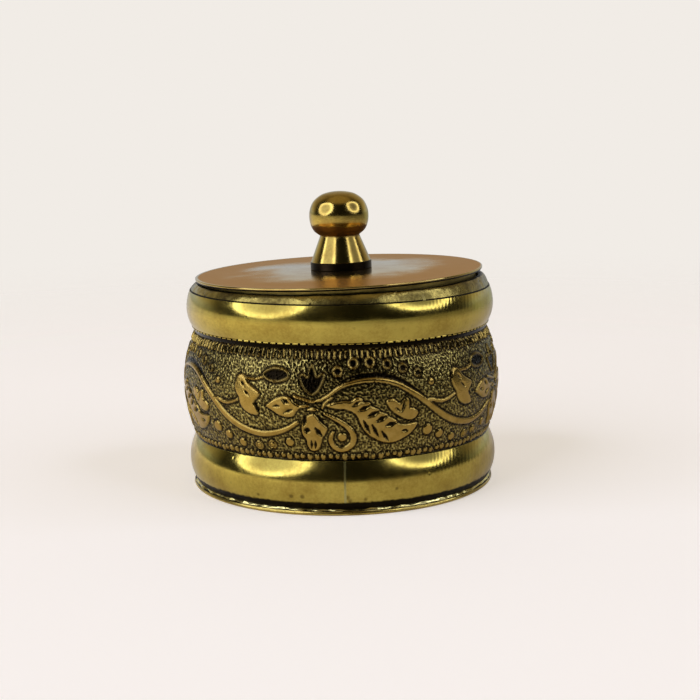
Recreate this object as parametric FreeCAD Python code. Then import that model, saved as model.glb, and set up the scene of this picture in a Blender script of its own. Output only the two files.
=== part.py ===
import FreeCAD, Part
import math
import os

# Small round brass box: a tube on a base plate, dressed with two smooth hoops, a barrel
# band and a rim ring, under a loose lid with a turned knob. Millimetres, +Z up, the
# underside of the base plate on z = 0, the box's axis on Z.

# Overall sizes
BELLY_RADIUS = 25.4
GROOVE_DEPTH = 1.7
BASE_THICKNESS = 0.75
SOLDER_THICKNESS = 0.15
LOWER_HOOP_HEIGHT = 7.35
BAND_HEIGHT = 17.6
UPPER_HOOP_HEIGHT = 5.6
RIM_HEIGHT = 1.9

# Sheet and clearances
TUBE_WALL = 0.6
HOOP_SHEET = 0.7
HOOP_LIP = 0.6
SEAM_WIDTH = 0.5
LID_PLAY = 0.3
SEAT_CLEARANCE = 0.01

# Lid and knob
LID_THICKNESS = 0.55
LID_DOME = 0.25
LID_INSET = 0.76
LOCATING_RING_DEPTH = 2.4
LOCATING_RING_WALL = 0.6
KNOB_FOOT_RADIUS = 4.88
KNOB_FOOT_HEIGHT = 1.25
KNOB_NECK_RADIUS = 3.13
KNOB_CONE_HEIGHT = 4.1
KNOB_BALL_RADIUS = 4.73
KNOB_BALL_HEIGHT = 7.0
SCREW_RADIUS = 1.25
SCREW_REACH = 5.0
SCREW_HEAD_RADIUS = 2.3
SCREW_HEAD_HEIGHT = 1.2
WASHER_RADIUS = 3.0
WASHER_THICKNESS = 0.4

# Directions the seams face, in degrees round Z, -90 being the front
LOWER_HOOP_SEAM_AT = -88.0
RIM_SEAM_AT = -57.0
UPPER_HOOP_SEAM_AT = 100.0
BAND_SEAM_AT = 90.0
TUBE_SEAM_AT = 75.0
LOCATING_RING_SEAM_AT = 60.0

# Heights and radii worked out from the sizes above
GROOVE_RADIUS = BELLY_RADIUS - GROOVE_DEPTH
TUBE_OUTER = GROOVE_RADIUS - 0.95
TUBE_INNER = TUBE_OUTER - TUBE_WALL
LOWER_HOOP_Z = BASE_THICKNESS + SOLDER_THICKNESS
BAND_Z = LOWER_HOOP_Z + LOWER_HOOP_HEIGHT
UPPER_HOOP_Z = BAND_Z + BAND_HEIGHT
RIM_Z = UPPER_HOOP_Z + UPPER_HOOP_HEIGHT
SEAT_Z = RIM_Z + RIM_HEIGHT
LID_Z = SEAT_Z + SEAT_CLEARANCE
LID_RADIUS = GROOVE_RADIUS - LID_INSET
KNOB_Z = LID_Z + LID_DOME + LID_THICKNESS

ORIGIN = FreeCAD.Vector(0, 0, 0)
UP = FreeCAD.Vector(0, 0, 1)


def station(radius, height):
    return FreeCAD.Vector(radius, 0, height)


def straight(*stations):
    """Straight edges through the (radius, height) stations, in order."""
    points = [station(*each) for each in stations]
    return [Part.makeLine(a, b) for a, b in zip(points, points[1:])]


def arc(start, middle, end):
    return [Part.Arc(station(*start), station(*middle), station(*end)).toShape()]


def swell_radius(end, crown, height):
    """Radius, at a height, of the arc that runs from the end and is upright at the crown."""
    rise = crown[1] - end[1]
    sag = crown[0] - end[0]
    radius = (rise * rise + sag * sag) / (2 * sag)
    return crown[0] - radius + math.sqrt(radius * radius - (crown[1] - height) ** 2)


def swell(low, crown, high):
    """Two arcs, from low to the crown and on to high."""
    low_z = (low[1] + crown[1]) / 2
    high_z = (crown[1] + high[1]) / 2
    edges = arc(low, (swell_radius(low, crown, low_z), low_z), crown)
    return edges + arc(crown, (swell_radius(high, crown, high_z), high_z), high)


def dome(rim, top):
    """An arc from the rim inwards to the axis, level at the axis."""
    rise = top - rim[1]
    radius = (rim[0] * rim[0] + rise * rise) / (2 * rise)
    half = math.asin(rim[0] / radius) / 2
    middle = (radius * math.sin(half), top - radius * (1 - math.cos(half)))
    return arc(rim, middle, (0, top))


def turned(edges, sweep=360.0, start=0.0):
    """A solid of revolution, from the start angle through the sweep."""
    face = Part.Face(Part.Wire(edges))
    solid = face.revolve(ORIGIN, UP, sweep)
    solid.rotate(ORIGIN, UP, start)
    return solid


def hoop_and_seam(edges, mean_radius, seam_at):
    """A rolled hoop whose ends stop short of each other, and the braze that fills the gap."""
    seam_sweep = math.degrees(SEAM_WIDTH / mean_radius)
    hoop = turned(edges, 360.0 - seam_sweep, seam_at + seam_sweep / 2)
    seam = turned(edges, seam_sweep, seam_at - seam_sweep / 2)
    return hoop, seam


def formed_hoop(low, crown, high, sheet, seam_at):
    """A sheet hoop that swells outwards, its turned-in lips bearing on the tube."""
    low_lip = (TUBE_OUTER, low[1] + HOOP_LIP)
    high_lip = (TUBE_OUTER, high[1] - HOOP_LIP)
    edges = straight(low_lip, (TUBE_OUTER, low[1]), low)
    edges += swell(low, crown, high)
    edges += straight(high, (TUBE_OUTER, high[1]), high_lip)
    edges += arc(high_lip, (crown[0] - sheet, crown[1]), low_lip)
    return hoop_and_seam(edges, crown[0], seam_at)


def base_plate():
    edge = GROOVE_RADIUS + 0.25
    edges = straight((0, BASE_THICKNESS), (0, 0), (edge, 0))
    edges += arc((edge, 0), (edge + 0.3, BASE_THICKNESS * 0.4), (edge + 0.05, BASE_THICKNESS))
    edges += straight((edge + 0.05, BASE_THICKNESS), (0, BASE_THICKNESS))
    return turned(edges)


def inner_tube():
    edges = straight(
        (TUBE_INNER, LOWER_HOOP_Z), (TUBE_OUTER, LOWER_HOOP_Z), (TUBE_OUTER, RIM_Z),
        (TUBE_INNER, RIM_Z), (TUBE_INNER, LOWER_HOOP_Z))
    return hoop_and_seam(edges, TUBE_OUTER, TUBE_SEAM_AT)


def base_solder():
    """The layer of solder under the tube and the lower hoop, squeezed out a little all round."""
    outer = GROOVE_RADIUS + 0.12
    edges = straight(
        (outer, BASE_THICKNESS),
        (TUBE_INNER, BASE_THICKNESS),
        (TUBE_INNER, LOWER_HOOP_Z),
        (outer, LOWER_HOOP_Z))
    bulge = (outer + 0.07, BASE_THICKNESS + SOLDER_THICKNESS / 2)
    edges += arc((outer, LOWER_HOOP_Z), bulge, (outer, BASE_THICKNESS))
    return turned(edges)


def lower_hoop():
    low = (GROOVE_RADIUS, LOWER_HOOP_Z)
    crown = (GROOVE_RADIUS + 1.05, LOWER_HOOP_Z + 0.48 * LOWER_HOOP_HEIGHT)
    high = (GROOVE_RADIUS - 0.05, BAND_Z)
    return formed_hoop(low, crown, high, HOOP_SHEET, LOWER_HOOP_SEAM_AT)


def chased_band():
    """The barrel band, with the short plain neck that stands under the upper hoop."""
    neck = 0.8
    low = (GROOVE_RADIUS, BAND_Z)
    crown = (BELLY_RADIUS, BAND_Z + 0.5 * (BAND_HEIGHT - neck))
    high = (GROOVE_RADIUS - 0.25, UPPER_HOOP_Z - neck)
    low_lip = (TUBE_OUTER, BAND_Z + HOOP_LIP)
    high_lip = (TUBE_OUTER, high[1] - HOOP_LIP)
    edges = straight(low_lip, (TUBE_OUTER, BAND_Z), low)
    edges += swell(low, crown, high)
    edges += straight(high, (high[0], UPPER_HOOP_Z), (TUBE_OUTER, UPPER_HOOP_Z), high_lip)
    edges += arc(high_lip, (BELLY_RADIUS - HOOP_SHEET, crown[1]), low_lip)
    return hoop_and_seam(edges, BELLY_RADIUS, BAND_SEAM_AT)


def upper_hoop():
    low = (GROOVE_RADIUS + 0.1, UPPER_HOOP_Z)
    crown = (GROOVE_RADIUS + 0.85, UPPER_HOOP_Z + 0.5 * UPPER_HOOP_HEIGHT)
    high = (GROOVE_RADIUS + 0.25, RIM_Z)
    return formed_hoop(low, crown, high, HOOP_SHEET, UPPER_HOOP_SEAM_AT)


def rim_ring():
    """Solid ring, quarter round outside, that caps the tube and the upper hoop."""
    foot = (GROOVE_RADIUS + 0.15, RIM_Z)
    shoulder = (GROOVE_RADIUS - 0.35, RIM_Z + 0.62 * RIM_HEIGHT)
    seat = (TUBE_INNER + 0.3, SEAT_Z)
    chamfer = 0.15
    mouth_edge = (TUBE_INNER + chamfer, SEAT_Z)
    mouth_wall = (TUBE_INNER, SEAT_Z - chamfer)
    edges = straight(seat, mouth_edge, mouth_wall, (TUBE_INNER, RIM_Z), foot)
    edges += arc(foot, shoulder, seat)
    return hoop_and_seam(edges, GROOVE_RADIUS, RIM_SEAM_AT)


def lid_plate():
    """Flat at the rim and under the knob, gently domed between."""
    flat = TUBE_INNER - 1.6
    seat = KNOB_FOOT_RADIUS + 0.4
    middle = ((flat + seat) / 2, LID_Z + 0.62 * LID_DOME)
    top = LID_Z + LID_THICKNESS
    edge = LID_THICKNESS * 0.3
    edges = straight((flat, LID_Z), (LID_RADIUS - edge, LID_Z), (LID_RADIUS, LID_Z + edge))
    edges += straight((LID_RADIUS, LID_Z + edge), (LID_RADIUS, top - edge))
    edges += straight((LID_RADIUS, top - edge), (LID_RADIUS - edge, top), (flat, top))
    edges += arc((flat, top), (middle[0], middle[1] + LID_THICKNESS), (seat, KNOB_Z))
    edges += straight((seat, KNOB_Z), (SCREW_RADIUS, KNOB_Z), (SCREW_RADIUS, KNOB_Z - LID_THICKNESS))
    edges += straight((SCREW_RADIUS, KNOB_Z - LID_THICKNESS), (seat, KNOB_Z - LID_THICKNESS))
    edges += arc((seat, KNOB_Z - LID_THICKNESS), middle, (flat, LID_Z))
    return turned(edges)


def locating_ring():
    outer = TUBE_INNER - LID_PLAY
    inner = outer - LOCATING_RING_WALL
    low = LID_Z - LOCATING_RING_DEPTH
    edges = straight(
        (inner, low), (outer - 0.2, low), (outer, low + 0.2), (outer, LID_Z), (inner, LID_Z), (inner, low))
    return hoop_and_seam(edges, outer, LOCATING_RING_SEAM_AT)


def knob():
    """Foot, cone and flattened ball turned in one piece, bored from below for the screw."""
    cone_z = KNOB_Z + KNOB_FOOT_HEIGHT
    neck_z = cone_z + KNOB_CONE_HEIGHT
    ball_z = neck_z + 0.43 * KNOB_BALL_HEIGHT
    top_z = neck_z + KNOB_BALL_HEIGHT
    waist = (KNOB_NECK_RADIUS, neck_z)
    belly = (KNOB_BALL_RADIUS, ball_z)
    shoulder = (KNOB_BALL_RADIUS * 0.78, top_z - 0.17 * KNOB_BALL_HEIGHT)
    edges = straight((SCREW_RADIUS, KNOB_Z), (KNOB_FOOT_RADIUS, KNOB_Z), (KNOB_FOOT_RADIUS, cone_z), waist)
    edges += arc(waist, (KNOB_BALL_RADIUS * 0.92, neck_z + 0.16 * KNOB_BALL_HEIGHT), belly)
    edges += arc(belly, (KNOB_BALL_RADIUS * 0.94, ball_z + 0.25 * KNOB_BALL_HEIGHT), shoulder)
    edges += dome(shoulder, top_z)
    edges += straight((0, top_z), (0, KNOB_Z + SCREW_REACH), (SCREW_RADIUS, KNOB_Z + SCREW_REACH))
    edges += straight((SCREW_RADIUS, KNOB_Z + SCREW_REACH), (SCREW_RADIUS, KNOB_Z))
    return turned(edges)


def knob_screw():
    """Pan-head screw whose shank fills the knob's bore, with a driving slot underneath."""
    under_lid = KNOB_Z - LID_THICKNESS
    head_top = under_lid - WASHER_THICKNESS
    head_low = head_top - SCREW_HEAD_HEIGHT
    flank = (SCREW_HEAD_RADIUS, head_top)
    crown = (SCREW_HEAD_RADIUS * 0.7, head_low)
    edges = straight((0, head_low), (0, KNOB_Z + SCREW_REACH), (SCREW_RADIUS, KNOB_Z + SCREW_REACH))
    edges += straight((SCREW_RADIUS, KNOB_Z + SCREW_REACH), (SCREW_RADIUS, head_top), flank)
    edges += arc(flank, (SCREW_HEAD_RADIUS * 0.95, head_top - 0.6 * SCREW_HEAD_HEIGHT), crown)
    edges += straight(crown, (0, head_low))
    slot_width = 0.5
    slot_corner = FreeCAD.Vector(-SCREW_HEAD_RADIUS, -slot_width / 2, head_low)
    slot = Part.makeBox(2 * SCREW_HEAD_RADIUS, slot_width, 0.5, slot_corner)
    return turned(edges).cut(slot)


def washer():
    top = KNOB_Z - LID_THICKNESS
    low = top - WASHER_THICKNESS
    edges = straight(
        (SCREW_RADIUS, low),
        (WASHER_RADIUS, low),
        (WASHER_RADIUS, top),
        (SCREW_RADIUS, top),
        (SCREW_RADIUS, low))
    return turned(edges)


nodes = {}
nodes["base_plate"] = base_plate()
nodes["inner_tube"], nodes["inner_tube_seam"] = inner_tube()
nodes["lower_hoop"], nodes["lower_hoop_seam"] = lower_hoop()
nodes["base_solder"] = base_solder()
nodes["chased_band"], nodes["chased_band_seam"] = chased_band()
nodes["upper_hoop"], nodes["upper_hoop_seam"] = upper_hoop()
nodes["rim_ring"], nodes["rim_ring_seam"] = rim_ring()
nodes["lid_plate"] = lid_plate()
nodes["locating_ring"], nodes["locating_ring_seam"] = locating_ring()
nodes["knob"] = knob()
nodes["knob_screw"] = knob_screw()
nodes["knob_washer"] = washer()

os.makedirs("parts", exist_ok=True)
for name, shape in nodes.items():
    shape.exportStep("parts/" + name + ".step")
    print(name, shape.ShapeType, len(shape.Solids), shape.isValid(), round(shape.Volume, 2))
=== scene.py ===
import bpy
import numpy as np
from math import cos, pi, radians, sin, sqrt
from mathutils import Euler, Matrix, Vector


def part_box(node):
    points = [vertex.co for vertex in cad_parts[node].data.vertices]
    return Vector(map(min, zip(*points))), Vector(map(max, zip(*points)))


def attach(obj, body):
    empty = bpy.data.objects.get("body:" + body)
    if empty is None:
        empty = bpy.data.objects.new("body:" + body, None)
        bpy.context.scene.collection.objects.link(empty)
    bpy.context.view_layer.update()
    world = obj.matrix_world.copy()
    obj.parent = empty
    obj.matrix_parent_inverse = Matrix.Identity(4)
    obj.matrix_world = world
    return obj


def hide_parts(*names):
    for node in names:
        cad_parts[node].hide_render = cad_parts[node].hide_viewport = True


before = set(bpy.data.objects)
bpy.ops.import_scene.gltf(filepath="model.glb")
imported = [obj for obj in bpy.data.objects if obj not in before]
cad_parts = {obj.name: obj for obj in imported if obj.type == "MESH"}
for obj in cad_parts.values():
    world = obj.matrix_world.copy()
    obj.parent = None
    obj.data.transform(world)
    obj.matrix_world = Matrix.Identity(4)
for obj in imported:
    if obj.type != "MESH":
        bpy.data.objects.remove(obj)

mm = 0.001  # the scene is in metres, the sizes below are in millimetres
scene = bpy.context.scene
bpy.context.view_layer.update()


def top(node):
    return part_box(node)[1].z / mm


def bottom(node):
    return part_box(node)[0].z / mm


def reach(node):
    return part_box(node)[1].x / mm  # the largest radius of a turned node


# selecting and finishing

def deselect():
    if bpy.context.object and bpy.context.object.mode != "OBJECT":
        bpy.ops.object.mode_set(mode="OBJECT")
    bpy.ops.object.select_all(action="DESELECT")


def pick(piece):
    deselect()
    piece.select_set(True)
    bpy.context.view_layer.objects.active = piece


def smooth(piece, angle=35):
    pick(piece)
    bpy.ops.object.shade_smooth_by_angle(angle=radians(angle))


def place(piece, body, finish, slotName, *nodes):
    piece.data.materials.clear()
    piece.data.materials.append(finish)
    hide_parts(*nodes)
    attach(piece, body)


# turning: an outline of (radius, height) drawn as a chain of vertices and spun round the box's axis,
# clockwise seen from above, so a part turn runs from at to at - sweep

def turn(name, outline, at=0.0, sweep=360.0, steps=256):
    side = Vector((cos(radians(at)), sin(radians(at)), 0))
    points = [(side * r + Vector((0, 0, z))) * mm for r, z in outline]
    deselect()
    bpy.ops.mesh.primitive_plane_add(size=mm, location=(0, 0, 0))
    piece = bpy.context.object
    piece.name = piece.data.name = name
    bpy.ops.object.mode_set(mode="EDIT")
    bpy.ops.mesh.select_all(action="SELECT")
    bpy.ops.mesh.merge(type="CENTER")
    bpy.ops.transform.translate(value=points[0])
    for here, there in zip(points, points[1:]):
        bpy.ops.mesh.extrude_vertices_move(TRANSFORM_OT_translate={"value": there - here})
    bpy.ops.mesh.select_all(action="SELECT")
    bpy.ops.mesh.spin(steps=steps, angle=radians(sweep), center=(0, 0, 0), axis=(0, 0, 1))
    bpy.ops.mesh.select_all(action="SELECT")
    bpy.ops.mesh.remove_doubles(threshold=0.002 * mm)
    bpy.ops.mesh.normals_make_consistent(inside=False)
    bpy.ops.object.mode_set(mode="OBJECT")
    return piece


def closeEnds():
    # in edit mode: caps the open ends of a part turn and points its faces outwards
    bpy.ops.mesh.select_all(action="DESELECT")
    bpy.ops.mesh.select_non_manifold()
    bpy.ops.mesh.fill_holes(sides=0)
    bpy.ops.mesh.select_all(action="SELECT")
    bpy.ops.mesh.normals_make_consistent(inside=False)


def swell(low, crown, high, count=12):
    # the outline of a hoop: two arcs that meet upright at the crown
    rows = []
    for end in (low, high):
        rise = abs(end[1] - crown[1])
        sag = crown[0] - end[0]
        radius = (rise * rise + sag * sag) / (2 * sag)
        heights = [end[1] + (crown[1] - end[1]) * i / count for i in range(count + 1)]
        rows.append([(crown[0] - radius + sqrt(radius * radius - (crown[1] - z) ** 2), z) for z in heights])
    return rows[0] + rows[1][-2::-1]


def arcTo(start, middle, end, count=8):
    # a curve through three outline points
    steps = [i / count for i in range(1, count + 1)]
    pull = [2 * m - (a + b) / 2 for a, m, b in zip(start, middle, end)]
    return [tuple((1 - t) ** 2 * a + 2 * t * (1 - t) * p + t * t * b for a, p, b in zip(start, pull, end))
            for t in steps]


def throughPoints(points, closed, count=8):
    # a smooth curve through given points
    p = np.array(points, float)
    size = len(p)
    around = (lambda i: p[i % size]) if closed else (lambda i: p[min(max(i, 0), size - 1)])
    t = np.linspace(0, 1, count, endpoint=False)[:, None]
    rows = []
    for i in range(size if closed else size - 1):
        a, b, c, d = around(i - 1), around(i), around(i + 1), around(i + 2)
        rows.append(0.5 * (2 * b + (c - a) * t + (2 * a - 5 * b + 4 * c - d) * t ** 2
                           + (3 * b - a - 3 * c + d) * t ** 3))
    return np.vstack(rows + ([] if closed else [p[-1:]]))


def dent(piece, depth, size):
    # uneven hand work: a cloud texture pushes the surface in and out along its normals
    cloud = bpy.data.textures.new(piece.name + "Dents", "CLOUDS")
    cloud.noise_scale = size * mm
    cloud.noise_depth = 1
    pick(piece)
    push = piece.modifiers.new("dents", "DISPLACE")
    push.texture = cloud
    push.texture_coords = "LOCAL"
    push.strength = 2 * depth * mm
    push.mid_level = 0.5
    bpy.ops.object.modifier_apply(modifier=push.name)


# materials

def srgb(code, alpha=1.0):
    parts = [int(code[i:i + 2], 16) / 255 for i in (1, 3, 5)]
    return [p / 12.92 if p <= 0.04045 else ((p + 0.055) / 1.055) ** 2.4 for p in parts] + [alpha]


def addNode(tree, kind, settings={}, **links):
    # settings are input values or node properties; a link names an input, with _ for a space
    node = tree.nodes.new("ShaderNode" + kind)
    for name, value in settings.items():
        if isinstance(name, int) or name in node.inputs:
            node.inputs[name].default_value = value
        else:
            setattr(node, name, value)
    for name, source in links.items():
        spot = int(name[1:]) if name[1:].isdigit() else name.replace("_", " ")
        tree.links.new(source, node.inputs[spot])
    return node


def ramp(tree, source, stops):
    node = addNode(tree, "ValToRGB", Fac=source)
    while len(node.color_ramp.elements) < len(stops):
        node.color_ramp.elements.new(0.5)
    for element, (spot, color) in zip(node.color_ramp.elements, stops):
        element.position = spot
        element.color = color if len(color) == 4 else (color[0], color[0], color[0], 1)
    return node.outputs["Color"]


def newFinish(name):
    finish = bpy.data.materials.new(name)
    finish.use_nodes = True
    tree = finish.node_tree
    return finish, tree, tree.nodes["Principled BSDF"]


def grimeAndShadeMask(tree, where, bands):
    # darkening in bands: polish and soot caught at the joints, and painted shade at the hoops' feet, on the
    # plate's top and under the knob's ball. 1 in the middle of each (height, half width), with a ragged edge
    ragged = addNode(tree, "TexNoise", {"Scale": 1 / (0.9 * mm), "Detail": 3.0}, Vector=where)
    z = addNode(tree, "SeparateXYZ", Vector=where).outputs["Z"]
    total = None
    for height, width in bands:
        shift = addNode(tree, "Math", {"operation": "MULTIPLY_ADD", 1: 0.6 * width * mm, 2: -0.3 * width * mm},
                        _0=ragged.outputs["Fac"])
        level = addNode(tree, "Math", {"operation": "ADD"}, _0=z, _1=shift.outputs[0]).outputs[0]
        gap = addNode(tree, "Math", {"operation": "SUBTRACT", 1: height * mm}, _0=level)
        gap = addNode(tree, "Math", {"operation": "ABSOLUTE"}, _0=gap.outputs[0])
        one = addNode(tree, "MapRange", {"interpolation_type": "SMOOTHSTEP", "From Min": width * mm,
                                         "From Max": 0.55 * width * mm}, Value=gap.outputs[0]).outputs[0]
        if total is not None:
            one = addNode(tree, "Math", {"operation": "MAXIMUM"}, _0=total, _1=one).outputs[0]
        total = one
    return total


spotRadius = 24.6  # brown spots lie this far from the axis, on the hoops' outer faces


def brass(name, color, dark, rough, roughSpread, scratch, pits, stretch=(1, 1, 1), grimeAndShade=(), chatter=0,
          spots=(), soilAndShade="#1C160C"):
    # 70:30 brass: a yellow metal, warm where it has been polished and olive where it has dulled
    finish, tree, shader = newFinish(name)
    shader.inputs["Metallic"].default_value = 1.0
    where = addNode(tree, "TexCoord").outputs["Object"]
    stain = addNode(tree, "TexNoise", {"Scale": 1 / (5 * mm), "Detail": 5.0, "Roughness": 0.62}, Vector=where)
    grain = addNode(tree, "TexNoise", {"Scale": 1 / (0.45 * mm), "Detail": 4.0, "Roughness": 0.7}, Vector=where)
    drawn = addNode(tree, "Mapping", {"Scale": stretch}, Vector=where)
    hair = addNode(tree, "TexNoise", {"Scale": 1 / (0.3 * mm), "Detail": 3.0}, Vector=drawn.outputs[0])
    pit = addNode(tree, "TexVoronoi", {"Scale": 1 / (2.4 * mm), "Randomness": 1.0}, Vector=where)
    hole = ramp(tree, pit.outputs["Distance"], [(0.03, (0,)), (0.13, (1,))])
    broad = addNode(tree, "Math", {"operation": "MULTIPLY", 1: 0.65}, _0=stain.outputs["Fac"])
    mixed = addNode(tree, "Math", {"operation": "MULTIPLY_ADD", 1: 0.35}, _0=grain.outputs["Fac"],
                    _2=broad.outputs[0])
    tint = ramp(tree, mixed.outputs[0], [(0.38, srgb(dark)), (0.58, srgb(color))])
    look = addNode(tree, "Mix", {"data_type": "RGBA", "blend_type": "MULTIPLY", 0: 0.5 * pits}, _6=tint,
                   _7=hole).outputs[2]
    gloss = addNode(tree, "MapRange", {"From Min": 0.4, "From Max": 0.6, "To Min": rough + roughSpread,
                                       "To Max": rough}, Value=mixed.outputs[0]).outputs[0]
    for azimuth, height, size in spots:
        # small pits where the sheet was left uncleaned, gone brown
        a = radians(azimuth)
        middle = (spotRadius * mm * cos(a), spotRadius * mm * sin(a), height * mm)
        gap = addNode(tree, "VectorMath", {"operation": "DISTANCE", 1: middle}, _0=where)
        rust = addNode(tree, "MapRange", {"interpolation_type": "SMOOTHSTEP", "From Min": size * mm,
                                          "From Max": 0.3 * size * mm, "To Max": 0.6},
                       Value=gap.outputs["Value"])
        look = addNode(tree, "Mix", {"data_type": "RGBA", 7: srgb("#4A3719")}, _0=rust.outputs[0],
                       _6=look).outputs[2]
    if grimeAndShade:
        dirtAndShade = grimeAndShadeMask(tree, where, grimeAndShade)
        look = addNode(tree, "Mix", {"data_type": "RGBA", 7: srgb(soilAndShade)}, _0=dirtAndShade, _6=look).outputs[2]
        gloss = addNode(tree, "Mix", {"data_type": "FLOAT", 3: 0.5}, _0=dirtAndShade, _2=gloss).outputs[0]
    tree.links.new(look, shader.inputs["Base Color"])
    tree.links.new(gloss, shader.inputs["Roughness"])
    first = addNode(tree, "Bump", {"Strength": scratch, "Distance": 0.012 * mm}, Height=hair.outputs["Fac"])
    if chatter:
        # the burnisher skipped in places and left a run of upright ripples. A wave's pitch is 0.314 / Scale
        wave = addNode(tree, "TexWave", {"bands_direction": "X", "Scale": 0.314 / (chatter * mm),
                                         "Distortion": 1.5, "Detail Scale": 2.0}, Vector=where)
        side = addNode(tree, "SeparateXYZ", Vector=where)
        patchy = addNode(tree, "MapRange", {"interpolation_type": "SMOOTHSTEP", "From Min": 9 * mm,
                                            "From Max": 15 * mm}, Value=side.outputs["X"])
        ripple = addNode(tree, "Math", {"operation": "MULTIPLY"}, _0=wave.outputs["Fac"], _1=patchy.outputs[0])
        first = addNode(tree, "Bump", {"Strength": 0.6, "Distance": 0.01 * mm}, Height=ripple.outputs[0],
                        Normal=first.outputs["Normal"])
    second = addNode(tree, "Bump", {"Strength": pits, "Distance": 0.04 * mm}, Height=hole,
                     Normal=first.outputs["Normal"])
    tree.links.new(second.outputs["Normal"], shader.inputs["Normal"])
    return finish


# hand-burnished brass: bright bands and soft dark ones, with brown pits low down (angle, height, size). The
# wide dark band at the foot is painted shade; the thin ones at 8.6 and 31.45 are dark joints
hoopFinish = brass("polishedBrass", "#CBB453", "#AE9440", 0.12, 0.09, 0.35, 0.35, (1, 1, 0.3),
                   [(1.45, 0.85), (8.6, 0.5), (31.45, 0.1)], 0.55,
                   [(-108, 3.0, 0.5), (-104, 3.0, 0.5), (-88.3, 2.9, 0.55), (-87.4, 2.3, 0.6),
                    (-82, 2.5, 0.45), (-71, 3.9, 0.4), (-121, 2.7, 0.4)])
# brass rubbed by the table: the same yellow, with softer mirrors, darkened across its flat top as painted shade
plateFinish = brass("rubbedBrass", "#D2B85E", "#9A823E", 0.16, 0.12, 0.3, 0.3, (1, 1, 1), [(0.8, 0.22)])
# filed and left: dull olive, broken by the file's marks
rimFinish = brass("filedBrass", "#B09C50", "#5E5028", 0.2, 0.14, 0.9, 0.9, (1, 1, 4), [(31.5, 0.1)])
# mirror-polished sheet: clear mirrors and no grain
lidFinish = brass("mirrorBrass", "#CDB266", "#BD9C54", 0.09, 0.06, 0.05, 0.0)
# a film of old lacquer has browned the outer part of the lid and been rubbed off round the knob
tree, shader = lidFinish.node_tree, lidFinish.node_tree.nodes["Principled BSDF"]
where = addNode(tree, "TexCoord").outputs["Object"]
flat = addNode(tree, "VectorMath", {"operation": "MULTIPLY", 1: (1, 1, 0)}, _0=where)
out = addNode(tree, "VectorMath", {"operation": "LENGTH"}, _0=flat.outputs[0])
cloud = addNode(tree, "TexNoise", {"Scale": 1 / (8 * mm), "Detail": 4.0, "Roughness": 0.55}, Vector=where)
edge = addNode(tree, "Math", {"operation": "MULTIPLY_ADD", 1: 16 * mm, 2: -8 * mm}, _0=cloud.outputs["Fac"])
edge = addNode(tree, "Math", {"operation": "ADD"}, _0=out.outputs["Value"], _1=edge.outputs[0])
film = addNode(tree, "MapRange", {"interpolation_type": "SMOOTHSTEP", "From Min": 9.5 * mm,
                                  "From Max": 18 * mm, "To Min": 0.12}, Value=edge.outputs[0])
bare = addNode(tree, "MapRange", {"From Min": 22.75 * mm, "From Max": 22.45 * mm, "To Max": 0.9},
               Value=out.outputs["Value"])
film = addNode(tree, "Math", {"operation": "MULTIPLY"}, _0=film.outputs[0], _1=bare.outputs[0]).outputs[0]
clean = shader.inputs["Base Color"].links[0].from_socket
gloss = shader.inputs["Roughness"].links[0].from_socket
tint = addNode(tree, "Mix", {"data_type": "RGBA", 7: srgb("#C99856")}, _0=film, _6=clean)
tree.links.new(tint.outputs[2], shader.inputs["Base Color"])
matt = addNode(tree, "Mix", {"data_type": "FLOAT", 3: 0.36}, _0=film, _2=gloss)
tree.links.new(matt.outputs[0], shader.inputs["Roughness"])
metal = addNode(tree, "MapRange", {"To Min": 1.0, "To Max": 0.85}, Value=film)
tree.links.new(metal.outputs[0], shader.inputs["Metallic"])
glance = addNode(tree, "Mix", {"data_type": "RGBA", 6: srgb("#FFFFFF"), 7: srgb("#FFE1B2")}, _0=film)
tree.links.new(glance.outputs[2], shader.inputs["Specular Tint"])  # the film stays orange even at a glance

# turned on a lathe and buffed: sharp mirrors, with brown polish left where the ball meets the cone, deepened
# into painted shade under the ball
ballFoot = top("knob") - 6.2
knobFinish = brass("turnedBrass", "#CDB056", "#AC8E44", 0.1, 0.08, 0.5, 0.15, (0.1, 0.1, 4),
                   [(ballFoot, 1.15)], soilAndShade="#6E4C22")
# near-black brass, used as painted shade on the lid's underside, the rim's inner edge and the knob's foot:
# nearly no colour, and a dull shine
shadeBlackFinish = brass("shadeBlackBrass", "#2A231A", "#14100B", 0.28, 0.12, 0.5, 0.2, (0.1, 0.1, 4))
# sheet as it came, inside and underneath: even and matt
plainBrass = brass("plainBrass", "#B0984E", "#8A763C", 0.32, 0.15, 0.4, 0.3)
# hard solder filed flush: a paler, greyer line in the hoops, with the hoop's painted shade at its foot
seamFinish = brass("hardSolder", "#C4B96E", "#978A52", 0.24, 0.14, 0.5, 0.2, (1, 1, 1), [(1.45, 0.85)])
# braze left rough: dull and pitted
brazeFinish = brass("braze", "#B5A45A", "#77683A", 0.3, 0.2, 0.8, 0.5)
# soft solder run out as a bead: the palest and brightest metal here
solderFinish = brass("softSolder", "#E9DA8C", "#A2914E", 0.14, 0.1, 0.4, 0.1)

# camera, at eye level for a thing on a table

view = {"place": (1.49, -230.87, 60.18), "down": 9.68, "roll": -1.03, "lens": 74.4}

cameraData = bpy.data.cameras.new("camera")
cameraData.lens = view["lens"]
cameraData.sensor_width = 36
cameraData.clip_start = 0.01
camera = bpy.data.objects.new("camera", cameraData)
scene.collection.objects.link(camera)
camera.location = Vector(view["place"]) * mm
tilt = Euler((radians(90 - view["down"]), 0, 0)).to_matrix()
camera.rotation_euler = (tilt @ Matrix.Rotation(radians(view["roll"]), 3, "Z")).to_euler()
scene.camera = camera
scene.view_settings.view_transform = "Standard"

# the base plate and the solder on it

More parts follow.
